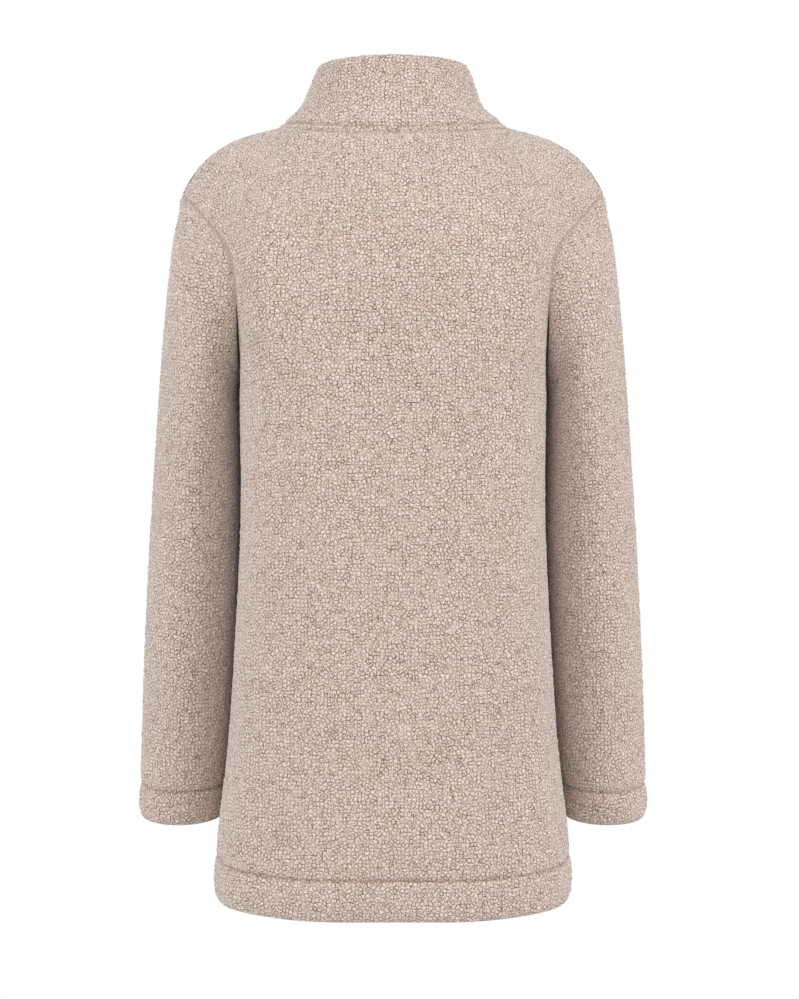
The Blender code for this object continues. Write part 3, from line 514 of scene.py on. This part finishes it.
def distanceTo(co, targets, reach):
    # distance to the nearest target, for the points that have one within reach
    tree = kdtree.KDTree(len(targets))
    for i, place in enumerate(targets):
        tree.insert(place, i)
    tree.balance()

    def boxNumbers(points):
        return np.floor(points / reach).astype(np.int64) @ np.array([1, 4096, 4096 * 4096])

    steps = [Vector((x, y, z)) * reach for x in (-1, 0, 1) for y in (-1, 0, 1) for z in (-1, 0, 1)]
    near = np.unique(np.concatenate([boxNumbers(targets + np.array(step)) for step in steps]))
    distance = np.full(len(co), 1.0)
    for i in np.flatnonzero(np.isin(boxNumbers(co), near)):
        distance[i] = tree.find(co[i])[2]
    return distance


def creaseDepth(node, co, outward):
    # troughs sink and ridges rise, and both fade to nothing at their ends
    depth = np.zeros(len(co))
    for piece, seenFrom, start, end, width, deep in creases:
        if piece != node:
            continue
        axis = 1 if seenFrom in ("back", "front") else 0
        across = 0 if axis == 1 else 1
        towards = 1 if seenFrom in ("back", "left") else -1
        flat = co[:, [across, 2]]
        first, run = np.array(start), np.array(end) - np.array(start)
        along = np.clip((flat - first) @ run / (run @ run), 0, 1)
        gap = np.linalg.norm(flat - first - along[:, None] * run, axis=1)
        facing = np.clip(outward[:, axis] * towards * creaseForm["facing"], 0, 1)
        ends = creaseForm["ends"]
        fade = np.sin(np.pi * np.clip(along * (1 - 2 * ends) + ends, 0, 1)) ** creaseForm["taper"]
        depth += deep * facing * fade * np.exp(-(gap / width) ** 2)
    return depth


def sewnLine(distance):
    return sewing["stitchDepth"] * np.exp(-(distance / sewing["stitchWidth"]) ** 2)


def lowOnly(node, edge):
    # the lowest points round the hem or the cuff, one for each direction
    centre = edge.mean(axis=0) if node.startswith("sleeve") else np.zeros(3)
    turn = np.round(np.arctan2(edge[:, 1] - centre[1], edge[:, 0] - centre[0]) / 0.05)
    kept = [edge[turn == step][np.argmin(edge[turn == step][:, 2])] for step in np.unique(turn)]
    return np.array(kept)


def numbersOf(layer, count, kind=float, name="value"):
    values = np.empty(count, kind)
    layer.foreach_get(name, values)
    return values


def wallEdges(node, data, low):
    # the points on the folded edge of the hem or the cuff, and those on the seams
    side = numbersOf(data.attributes["side"].data, len(data.polygons))
    co = places(data)
    onRim = np.zeros(len(co), bool)
    onCloth = np.zeros(len(co), bool)
    for face in data.polygons:
        (onRim if side[face.index] == 0.5 else onCloth)[list(face.vertices)] = True
    edge = co[onRim & onCloth]
    if node == "collar":
        return edge[:0], edge
    isLow = edge[:, 2] < low + (mesh["cuffRise"] if "sleeve" in node else mesh["hemRise"])
    lowEdge, seam = edge[isLow], edge[~isLow]
    # side seams rise from the folded edge, which is the very lowest ring
    height = heightAboveEdge(node, lowEdge, lowOnly(node, lowEdge))
    onFold = height < mesh["foldRing"]
    return lowEdge[onFold], np.vstack([seam, lowEdge[~onFold]])


def halveLongEdges(made, low, hasBand):
    # only where there is pile, until the curls can be raised from the mesh
    select(made)
    bandTop = low + mesh["bandTop"]
    for _ in range(mesh["passes"]):
        bpy.ops.object.mode_set(mode="EDIT")
        bm = bmesh.from_edit_mesh(made.data)
        sideLayer = bm.faces.layers.float.get("side")
        for face in bm.faces:
            face.select = False
        bm.select_mode = {"EDGE"}
        for line in bm.edges:
            piled = any(face[sideLayer] > 0.4 or face.calc_center_median().z < bandTop and hasBand
                        for face in line.link_faces)
            line.select = piled and line.calc_length() > mesh["coarse"]
        bmesh.update_edit_mesh(made.data)
        bpy.ops.mesh.subdivide(number_cuts=1, quadcorner="INNERVERT")
        bpy.ops.object.mode_set(mode="OBJECT")


def sewAndCrease(node, data, lowEdge, seam):
    # pile outside and on the turned bands, plain backing inside, then the stitching, seams and creases
    co = places(data)
    side = numbersOf(data.attributes["side"].data, len(data.polygons))
    sizes = numbersOf(data.polygons, len(data.polygons), int, "loop_total")
    outward, isOuter = normalsOf(data, side > 0.9, sizes)
    inward = normalsOf(data, side < 0.1, sizes)[0]
    rimOut = normalsOf(data, (side > 0.4) & (side < 0.6), sizes)[0]
    outward[isOuter == 0] = inward[isOuter == 0]
    pile = isOuter.copy()
    press = np.zeros(len(co))
    if node != "collar":
        height = heightAboveEdge(node, co, lowEdge)
        band = sewing["cuffBand"] if "sleeve" in node else sewing["hemBand"]
        turned = (band - 0.001 - height) / sewing["bandFade"]
        pile = np.maximum(pile, np.clip(turned, 0, 1))
        press += sewnLine(height - band) * (height < 0.9)
    seamGap = distanceTo(co, seam, sewing["reach"])
    onShoulder = np.clip((outward[:, 2] - 0.45) / 0.25, 0, 1) * (node != "collar")
    seamDepth = sewing["seamDepth"] * (1 - sewing["shoulderEase"] * onShoulder)
    press += seamDepth * np.exp(-(seamGap / sewing["seamWidth"]) ** 2)
    pile *= np.clip(seamGap / sewing["pileFade"], sewing["leastPile"], 1)
    if node == "collar":
        bottom = seam[np.abs(seam[:, 0]) > sewing["collarEnds"]]
        press += sewnLine(distanceTo(co, bottom, sewing["reach"]) - sewing["collarStrip"])
    if node.startswith("front") or node == "collar":
        onFront = co[:, 1] < 0
        press += sewnLine(np.abs(co[:, 0]) - sewing["zipLine"]) * onFront
    press = np.minimum(press, sewing["deepest"]) * (outward * outward).sum(axis=1)
    # press is the depth of the seams and stitching, and the fleece material also darkens its colour by it
    # as painted shade in the grooves
    storeNumbers(data, "pile", "POINT", "FLOAT", pile)
    storeNumbers(data, "press", "POINT", "FLOAT", press)
    storeNumbers(data, "restPlace", "POINT", "FLOAT_VECTOR", co)
    storeNumbers(data, "outward", "POINT", "FLOAT_VECTOR", outward)
    hasPile = pile > 0
    sunk = co - outward * (press * hasPile)[:, None] + rimOut * sewing["closeUp"]
    way = np.where(hasPile & (isOuter > 0), 1.0, -1.0)     # the inside moves with the outside
    bend = creaseDepth(node, co, outward * way[:, None]) * np.clip(seamGap / creaseForm["clear"], 0, 1)
    sunk -= outward * (way * bend)[:, None]
    data.vertices.foreach_set("co", sunk.ravel())
    data.update()
    return sum(size - 2 for size in sizes)     # as many triangles as the faces would make


def makeCloth(node, settings, finish, tree):
    made = mergedCopy(node, node + "_fleece")
    low = places(made.data)[:, 2].min()
    areas = markWall(made)
    layFlat(made, node)
    apply(made, "SUBSURF", levels=2, render_levels=2)
    lowEdge, seam = wallEdges(node, made.data, low)
    halveLongEdges(made, low, node != "collar")
    before = sewAndCrease(node, made.data, lowEdge, seam)

    step = made.modifiers.new("Curls", "NODES")
    step.node_group = tree
    select(made)
    bpy.ops.object.modifier_apply(modifier="Curls")
    apply(made, "TRIANGULATE")
    apply(made, "DECIMATE", ratio=min(1, settings["triangles"] / before))
    bpy.ops.object.shade_smooth()
    made.data.materials.append(finish)
    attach(made, "jacket")
    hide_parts(node)
    print(node, "areas", areas, "triangles", before, "->", len(made.data.polygons))


fleeceFinish = fleeceMaterial()
raiseCurls = curlNodes()
for node, settings in clothPieces.items():
    makeCloth(node, settings, fleeceFinish, raiseCurls)
print("cloth pieces made")


zipSizes = {
    "pitch": 0.0027,        # from one tooth to the next on the same side
    "head": 0.0011,         # how far a tooth reaches past the centre
    "height": 0.00115,
    "thick": 0.0023,
    "neck": ((0.0004, 0.72), (0.0007, 1.0), (0.0007, 1.45)),    # each length, and the widening after it
    "bevel": 0.00013,
    "inFrom": 0.0008,       # the first and last tooth are this far in from the bar's ends
}


def makeTooth():
    head, height, thick = zipSizes["head"], zipSizes["height"], zipSizes["thick"]
    bpy.ops.mesh.primitive_cube_add(size=1, location=(0, 0, 0))
    tooth = bpy.context.object
    bpy.ops.object.mode_set(mode="EDIT")
    bpy.ops.transform.resize(value=(2 * head, thick, height))
    # neck and foot, drawn out towards the tape
    for length, wide in zipSizes["neck"]:
        bm = bmesh.from_edit_mesh(tooth.data)
        far = max(vert.co.x for vert in bm.verts)
        for face in bm.faces:
            face.select = all(abs(vert.co.x - far) < 0.00001 for vert in face.verts)
        bmesh.update_edit_mesh(tooth.data)
        bpy.ops.mesh.extrude_region_move(TRANSFORM_OT_translate={"value": (length, 0, 0)})
        bpy.ops.transform.resize(value=(1, 1, wide), center_override=(0, 0, 0))
    bpy.ops.mesh.select_all(action="SELECT")
    bpy.ops.mesh.bevel(offset=zipSizes["bevel"], segments=1, affect="EDGES")
    bpy.ops.mesh.normals_make_consistent(inside=False)
    bpy.ops.object.mode_set(mode="OBJECT")
    return tooth


def zipPath():
    # places and outward directions up the face of the chain's bar
    tree = BVHTree.FromObject(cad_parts["zip_chain"], bpy.context.evaluated_depsgraph_get())
    low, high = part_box("zip_chain")
    z, found = low.z + zipSizes["inFrom"], []
    while z < high.z - zipSizes["inFrom"]:
        hit, normal = tree.ray_cast(Vector((0, -1, z)), Vector((0, 1, 0)))[:2]
        found.append((hit, normal))
        z += 0.5 * zipSizes["pitch"] * math.sqrt(max(0.05, 1 - normal.z ** 2))
    return found


def makeTeeth(finish):
    tooth = makeTooth()
    joined = bmesh.new()
    for i, (place, outward) in enumerate(zipPath()):
        flat = Vector((0, outward.y, outward.z)).normalized()
        side = 1 if i % 2 else -1
        across = Vector((side, 0, 0))
        upward = Vector((0, flat.z, -flat.y))
        turn = Matrix((across, -flat, upward)).transposed().to_4x4()
        turn.translation = place - flat * (zipSizes["thick"] / 2 + 0.00005)
        start = len(joined.verts)
        joined.from_mesh(tooth.data)
        joined.verts.ensure_lookup_table()
        bmesh.ops.transform(joined, matrix=turn, verts=joined.verts[start:])
    bmesh.ops.recalc_face_normals(joined, faces=joined.faces)
    data = bpy.data.meshes.new("zip_teeth")
    joined.to_mesh(data)
    joined.free()
    bpy.data.objects.remove(tooth)
    teeth = bpy.data.objects.new("zip_teeth", data)
    bpy.context.scene.collection.objects.link(teeth)
    select(teeth)
    bpy.ops.object.shade_smooth_by_angle(angle=math.radians(35))
    teeth.data.materials.append(finish)
    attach(teeth, "jacket")
    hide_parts("zip_chain")
    print("zip teeth", len(teeth.data.polygons), "faces")


def dressNode(name, finish, soften=None):
    # a carried-over solid gets its finish, and its edges are eased
    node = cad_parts[name]
    node.data.materials.clear()
    node.data.materials.append(finish)
    if soften:
        weld = node.modifiers.new("Weld", "WELD")
        weld.merge_threshold = 0.00001
        ease = node.modifiers.new("Ease", "BEVEL")
        ease.width, ease.segments = soften, 2
        ease.limit_method, ease.angle_limit = "ANGLE", math.radians(35)


teethFinish, metalFinish, tapeFinish = teethMaterial(), metalMaterial(), tapeMaterial()
makeTeeth(teethFinish)
dressNode("zip_tape_left", tapeFinish)
dressNode("zip_tape_right", tapeFinish)
dressNode("zip_box", teethFinish, 0.00025)
dressNode("zip_slider", metalFinish, 0.00022)
dressNode("zip_pull", metalFinish, 0.00018)
print("zip made")


studio = {
    "floorHeight": -1.45,
    "floorRadius": 2.2,
    "worldLight": 0.62,
    "floorDark": (0.80, 0.79, 0.78),
    "floorPale": (0.84, 0.83, 0.82),
    "aim": (0, 0, -0.35),
    "cameraPlace": (-0.00635, 2.319, -0.349),
    "lens": 85,
    "front": {"place": (0.5, 3.0, 1.5), "size": 2.4, "power": 27},
    "left": {"place": (2.4, 1.1, 0.8), "size": 1.8, "power": 28},
    "right": {"place": (-2.4, 1.3, 1.0), "size": 1.8, "power": 41},
    "behind": {"place": (0.3, -2.8, 1.3), "size": 2.2, "power": 30},
}


def makeFloor():
    bpy.ops.mesh.primitive_circle_add(vertices=96, radius=studio["floorRadius"], fill_type="NGON",
                                      location=(0, 0, studio["floorHeight"]))
    floor = bpy.context.object
    floor.name = "studio_floor"
    bpy.ops.object.transform_apply(location=True)
    made, board = newMaterial("paleFloor")
    place = board.node("ShaderNodeTexCoord", None, None, "Object")
    tone = board.mixColour(board.noise(place, 0.5, 2.0), studio["floorDark"], studio["floorPale"])
    principled(board, {"Base Color": tone}, {"Roughness": 0.9})
    floor.data.materials.append(made)


def makeLight(name, place, size, power):
    bpy.ops.object.light_add(type="AREA", location=place)
    lamp = bpy.context.object
    lamp.name = name
    lamp.data.shape, lamp.data.size, lamp.data.energy = "DISK", size, power
    aim = Vector(studio["aim"]) - Vector(place)
    lamp.rotation_euler = aim.to_track_quat("-Z", "Y").to_euler()


def makeWorld():
    world = bpy.data.worlds.new("studioWhite")
    world.use_nodes = True
    bpy.context.scene.world = world
    board = Board(world.node_tree)
    seen = board.node("ShaderNodeLightPath", None, None, "Is Camera Ray")
    strength = seen * (1 - studio["worldLight"]) + studio["worldLight"]
    light = board.node("ShaderNodeBackground", None, {"Color": (1, 1, 1, 1), "Strength": strength})
    board.node("ShaderNodeOutputWorld", None, {"Surface": light})


makeFloor()
makeWorld()
for name in ("front", "left", "right", "behind"):
    makeLight(name + "Light", **studio[name])

bpy.ops.object.camera_add(location=studio["cameraPlace"], rotation=(math.pi / 2, 0, math.pi))
camera = bpy.context.object
camera.data.lens = studio["lens"]
camera.data.sensor_width = 36
camera.data.clip_end = 50
bpy.context.scene.camera = camera
bpy.context.scene.view_settings.view_transform = "Standard"
print("studio made")
